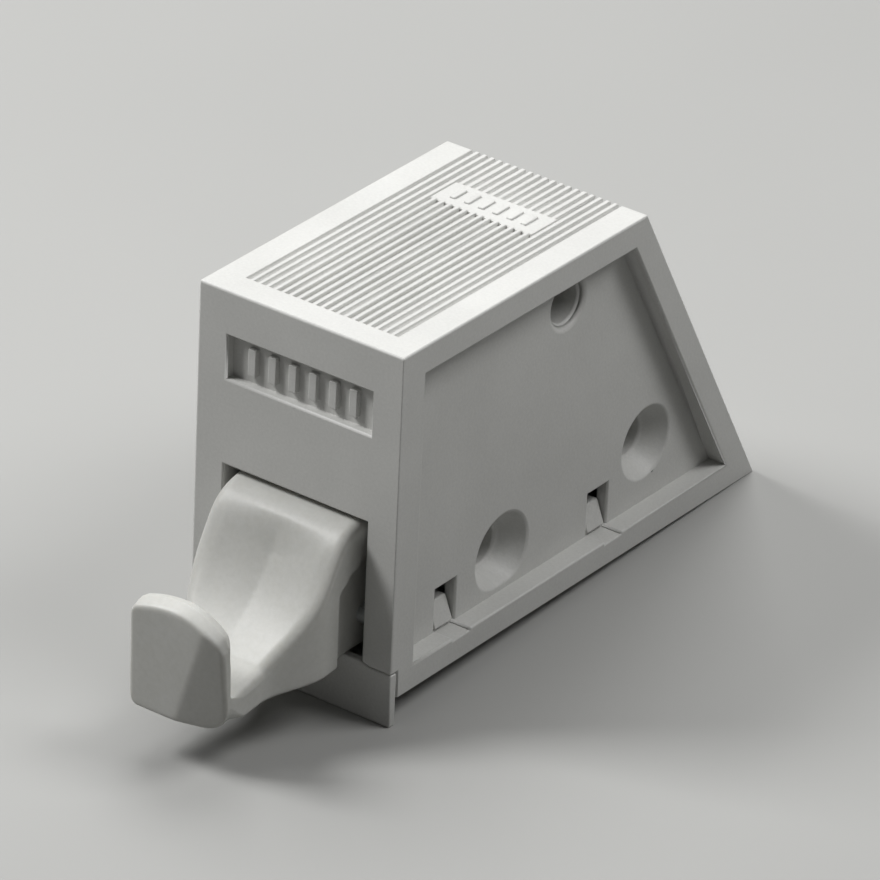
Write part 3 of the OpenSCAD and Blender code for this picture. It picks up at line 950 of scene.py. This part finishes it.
    def arm_points(self) -> np.ndarray:
        """Work out the drive arm as a flat bar from the pivot to the drive pin.

        The outline is the hull of a circle at the pivot and a slightly larger one at
        the pin. A hole for the drive pin runs across, and the outer edges are eased.

        Returns:
            Places in millimetres, as rows by columns by three.
        """
        low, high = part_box("drive_pin")
        pin = np.array([(low.y + high.y) / 2, (low.z + high.z) / 2]) / MM
        pivot = np.array(self.pivot)
        turn = np.linspace(0, 2 * np.pi, 96, endpoint=False)
        axis = (pin - pivot) / np.linalg.norm(pin - pivot)
        side = np.array([-axis[1], axis[0]])
        length = np.linalg.norm(pin - pivot)
        t = np.cos(turn)
        r = np.where(t > 0, *self.arm_r)[:, None]
        along = np.where(t > 0, length, 0)[:, None]
        ring = pivot + axis * (along + r * t[:, None]) + side * r * np.sin(turn)[:, None]
        round_pin = axis * t[:, None] + side * np.sin(turn)[:, None]
        inner = pin + self.arm_hole_r * round_pin
        half, ease = self.arm_half, self.arm_ease
        rows = [
            (inner, -half),
            (inner + (ring - inner) * 0.5, -half),
            (ring - ease * (ring - pin) / 4, -half),
            (ring, -half + ease),
            (ring, half - ease),
            (ring - ease * (ring - pin) / 4, half),
            (inner + (ring - inner) * 0.5, half),
            (inner, half),
        ]
        return np.stack([np.insert(loop, 0, x, axis=1) for loop, x in rows])

    def build(self) -> None:
        """Make the lever's skin and its drive arm."""
        finish = LEVER_POM.make()
        skin = surface("lever_hooked_nose", self.body_points())
        settle(skin, finish, Body.LEVER, Slot.LEVER, "catch_lever")
        arm = surface("lever_drive_arm", self.arm_points(), wrap_rows=True)
        settle(arm, finish, Body.LEVER, Slot.LEVER)


@dataclass
class Pin:
    """A straight steel pin with chamfered ends, turned from drawn rod."""

    node: str
    name: str
    axis: int
    body: Body
    chamfer: float = 0.2
    sides: int = 48

    def points(self) -> np.ndarray:
        """Turn the pin's profile about its axis: a line with a chamfer at each end.

        Returns:
            Places in millimetres, as rows by columns by three.
        """
        low, high = (np.array(corner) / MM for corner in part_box(self.node))
        others = [k for k in range(3) if k != self.axis]
        radius = (high - low)[others[0]] / 2
        start, end = low[self.axis], high[self.axis]
        c = self.chamfer
        along = np.array([start, start, start + c, end - c, end, end])[:, None]
        r = np.array([0, radius - c, radius, radius, radius - c, 0])[:, None]
        turn = np.linspace(0, 2 * np.pi, self.sides, endpoint=False)
        made = np.zeros((len(along), self.sides, 3))
        made[..., self.axis] = along
        made[..., others[0]] = (low + high)[others[0]] / 2 + r * np.cos(turn)
        made[..., others[1]] = (low + high)[others[1]] / 2 + r * np.sin(turn)
        return made

    def build(self, finish: bpy.types.Material) -> None:
        """Make the pin in the given finish."""
        piece = surface(self.name, self.points(), capped=False)
        settle(piece, finish, self.body, Slot.STEEL, self.node)


def tube(path: np.ndarray, radius: float, sides: int = 14) -> np.ndarray:
    """Carry a circle along a path.

    The circle's own axes turn as little as possible: the first axis at each point is
    the one before it less its part along the path.

    Args:
        path: Points in millimetres, one a row.
        radius: Radius of the circle.
        sides: Points round the circle.

    Returns:
        Places in millimetres, as rows by columns by three.
    """
    along = np.gradient(path, axis=0)
    along /= np.linalg.norm(along, axis=1)[:, None]
    first = np.zeros_like(path)
    guide = np.eye(3)[0 if abs(along[0, 0]) < 0.9 else 1]
    for i, forward in enumerate(along):
        guide = guide - forward * np.dot(guide, forward)
        guide = guide / np.linalg.norm(guide)
        first[i] = guide
    second = np.cross(along, first)
    turn = np.linspace(0, 2 * np.pi, sides, endpoint=False)[None, :, None]
    circle = first[:, None] * np.cos(turn) + second[:, None] * np.sin(turn)
    return path[:, None] + radius * circle


@dataclass
class Springs:
    """The ejector spring, its guide rod and the leaf under the follower."""

    coil_r: float = 2.45
    wire_r: float = 0.3
    free_turns: float = 7.0
    end_turns: float = 1.0
    rod_z: float = 19.8
    leaf_edge: float = 0.05

    def coil_path(self) -> np.ndarray:
        """Follow the spring's wire: a helix whose first and last turns lie close.

        The angle grows evenly. The rise is one wire a turn in the closed end turns and
        spreads the rest of the length over the free turns.

        Returns:
            Points in millimetres, one a row.
        """
        low, high = (np.array(corner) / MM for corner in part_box("ejector_spring"))
        turns = self.free_turns + 2 * self.end_turns
        t = np.linspace(0, turns, int(turns * 40))
        close = 2.1 * self.wire_r
        length = high[1] - low[1] - 2 * self.wire_r
        pitch = (length - 2 * self.end_turns * close) / self.free_turns
        closed = (t < self.end_turns) | (t > turns - self.end_turns)
        steps = np.where(closed, close, pitch)[1:] * np.diff(t)
        y = low[1] + self.wire_r + np.concatenate([[0], np.cumsum(steps)])
        angle = 2 * np.pi * t
        x = self.coil_r * np.cos(angle)
        z = self.rod_z + self.coil_r * np.sin(angle)
        return np.stack([x, y, z], 1)

    def build(self) -> None:
        """Make the ejector spring, on a mesh of its own, and the leaf under the follower.
        """
        wire = SPRING_STEEL.make()
        coil = surface("ejector_coil", tube(self.coil_path(), self.wire_r))
        settle(coil, wire, Body.HOUSING, Slot.SPRING, "ejector_spring")
        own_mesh(coil)
        strip = joined_copy("follower_spring", "follower_leaf")
        leaf = eased(strip, "follower_leaf", self.leaf_edge)
        settle(leaf, wire, Body.HOUSING, Slot.SPRING, "follower_spring")


@dataclass
class Works:
    """The slide with its heart track and the wire follower that runs in it."""

    wire_r: float = 0.5
    bend_r: float = 1.2
    slide_edge: float = 0.15

    def follower_path(self) -> np.ndarray:
        """Follow the wire: up from its bore, level to the front, then up to its tip.

        Returns:
            Points in millimetres, one a row.
        """
        low, high = (np.array(corner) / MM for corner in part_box("cam_follower"))
        post_y, tip_y = high[1] - self.wire_r, low[1] + self.wire_r
        level_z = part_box("latch_slide")[0].z / MM - 2 * self.wire_r
        corners = np.array(
            [
                [0, post_y, low[2]],
                [0, post_y, level_z],
                [0, tip_y, level_z],
                [0, tip_y, high[2]],
            ]
        )
        return soften(corners, self.bend_r)

    def build(self) -> None:
        """Make the slide and the follower."""
        block = joined_copy("latch_slide", "slide")
        slide = eased(block, "slide_with_heart_track", self.slide_edge)
        settle(slide, SLIDE_POM.make(), Body.SLIDE, Slot.SLIDE, "latch_slide")
        wire = surface("follower_wire", tube(self.follower_path(), self.wire_r))
        settle(wire, ZINC_STEEL.make(), Body.FOLLOWER, Slot.STEEL, "cam_follower")


@dataclass
class Studio:
    """A pale floor that the catch rests on, soft lights and the camera."""

    lip: tuple[float, float] = (0.85, -2.65)
    rear_edge: tuple[float, float] = (55.7, 0.0)
    floor_half: float = 2500.0
    floor_gap: float = 0.005
    floor_tone: str = "#787876"
    seen_floor_tones: tuple[str, str] = ("#A0A09E", "#A6A6A4")
    mottle_mm: float = 60.0
    room_light: float = 0.10
    azimuth: float = 35.69
    elevation: float = 28.62
    roll: float = 2.56
    distance: float = 700.0
    target: tuple[float, float, float] = (20.54, -6.77, 33.12)
    lens: float = 338.0
    shift: tuple[float, float] = (-0.00358, -0.00772)

    def floor(self) -> None:
        """Lay the floor through the flange's lip and the housing's rear edge."""
        run = np.array(self.rear_edge) - np.array(self.lip)
        run = run / np.linalg.norm(run)
        across = np.linspace(-self.floor_half, self.floor_half, 9)
        x, t = np.meshgrid(across, across, indexing="ij")
        y = self.lip[0] + run[0] * t
        z = self.lip[1] + run[1] * t - self.floor_gap
        points = np.stack([x, y, z], axis=-1)
        piece = surface("studio_floor", points, wrap_columns=False, capped=False)
        material, tree, shader, place = start_material("painted_board_pale")
        noise = add_node(
            tree,
            "ShaderNodeTexNoise",
            inputs={"Vector": place, "Scale": 1 / (self.mottle_mm * MM), "Detail": 2.0},
        )
        mottle = add_node(
            tree, "ShaderNodeMix", {"data_type": "RGBA"}, {"Factor": noise.outputs["Fac"]}
        )
        mottle.inputs[6].default_value = linear(self.seen_floor_tones[0])
        mottle.inputs[7].default_value = linear(self.seen_floor_tones[1])
        path = add_node(tree, "ShaderNodeLightPath").outputs
        seen = path["Is Camera Ray"]
        for kind in ("Is Glossy Ray", "Is Transmission Ray"):
            both = {0: seen, 1: path[kind]}
            either = add_node(tree, "ShaderNodeMath", {"operation": "MAXIMUM"}, both)
            seen = either.outputs[0]
        tone = add_node(tree, "ShaderNodeMix", {"data_type": "RGBA"}, {"Factor": seen})
        tone.inputs[6].default_value = linear(self.floor_tone)
        tree.links.new(mottle.outputs[2], tone.inputs[7])
        tree.links.new(tone.outputs[2], shader.inputs["Base Color"])
        shader.inputs["Roughness"].default_value = 0.8
        shader.inputs["Specular IOR Level"].default_value = 0.2
        piece.data.materials.append(material)
        if piece.data.polygons[0].normal.z < 0:
            piece.data.flip_normals()

    def lamp(
        self, name: str, place: tuple[float, float, float], size: float, power: float
    ) -> None:
        """Hang a square soft lamp that points at the catch.

        Args:
            name: The lamp's name.
            place: Where it hangs, in millimetres from the catch's middle.
            size: Its side, in millimetres.
            power: Its power, in watts.
        """
        middle = Vector((0.0, 20.0, 15.0))
        light = bpy.data.lights.new(name, "AREA")
        light.size = size * MM
        light.energy = power
        holder = add_object(name, light)
        holder.location = (Vector(place) + middle) * MM
        holder.rotation_euler = Vector(place).to_track_quat("Z", "Y").to_euler()

    def camera(self) -> None:
        """Set the camera at the photograph's angle, with its slight roll and long lens."""
        az, el, roll = (math.radians(a) for a in (self.azimuth, self.elevation, self.roll))
        back = Vector(
            (math.cos(el) * math.sin(az), -math.cos(el) * math.cos(az), math.sin(el))
        )
        level = Vector((math.cos(az), math.sin(az), 0.0))
        upright = back.cross(level)
        right = level * math.cos(roll) + upright * math.sin(roll)
        up = back.cross(right)
        lens = bpy.data.cameras.new("product_camera")
        lens.lens = self.lens
        lens.sensor_width = 36.0
        lens.shift_x, lens.shift_y = self.shift
        lens.clip_end = 20.0
        holder = add_object("product_camera", lens)
        turned = Matrix((right, up, back)).transposed()
        place = (Vector(self.target) + back * self.distance) * MM
        holder.matrix_world = Matrix.Translation(place) @ turned.to_4x4()
        bpy.context.scene.camera = holder

    def world(self) -> None:
        """Fill the room with even light."""
        world = bpy.data.worlds.new("soft_room")
        world.use_nodes = True
        shade = world.node_tree.nodes["Background"]
        shade.inputs["Color"].default_value = (1.0, 1.0, 1.0, 1.0)
        shade.inputs["Strength"].default_value = self.room_light
        bpy.context.scene.world = world

    def build(self) -> None:
        """Set up floor, lights, world and camera."""
        self.floor()
        self.lamp("overhead_softbox", (-140.0, 180.0, 400.0), 280.0, 1.35)
        self.lamp("left_softbox", (-290.0, -170.0, 330.0), 150.0, 1.93)
        self.lamp("right_softbox", (250.0, 120.0, 390.0), 200.0, 1.1)
        self.world()
        self.camera()
        bpy.context.scene.view_settings.view_transform = "Standard"


@dataclass
class Catch:
    """The whole catch, built from the outside in."""

    housing: Housing = field(default_factory=Housing)
    base: Base = field(default_factory=Base)
    lever: Lever = field(default_factory=Lever)
    springs: Springs = field(default_factory=Springs)
    works: Works = field(default_factory=Works)

    def build(self) -> None:
        """Build every sub-assembly in order."""
        self.housing.build()
        self.base.build()
        self.lever.build()
        self.springs.build()
        self.works.build()
        zinc = bpy.data.materials["steel_zinc_plated"]
        Pin("lever_pivot_pin", "pivot_pin", 0, Body.HOUSING).build(zinc)
        Pin("drive_pin", "lever_drive_pin", 0, Body.LEVER).build(zinc)
        Pin("spring_guide_rod", "guide_rod", 1, Body.HOUSING).build(zinc)


def main() -> None:
    """Build the studio and the catch."""
    logging.basicConfig(level=logging.INFO, format="%(name)s %(message)s")
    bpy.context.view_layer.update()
    Studio().build()
    Catch().build()


if __name__ == "__main__":
    main()
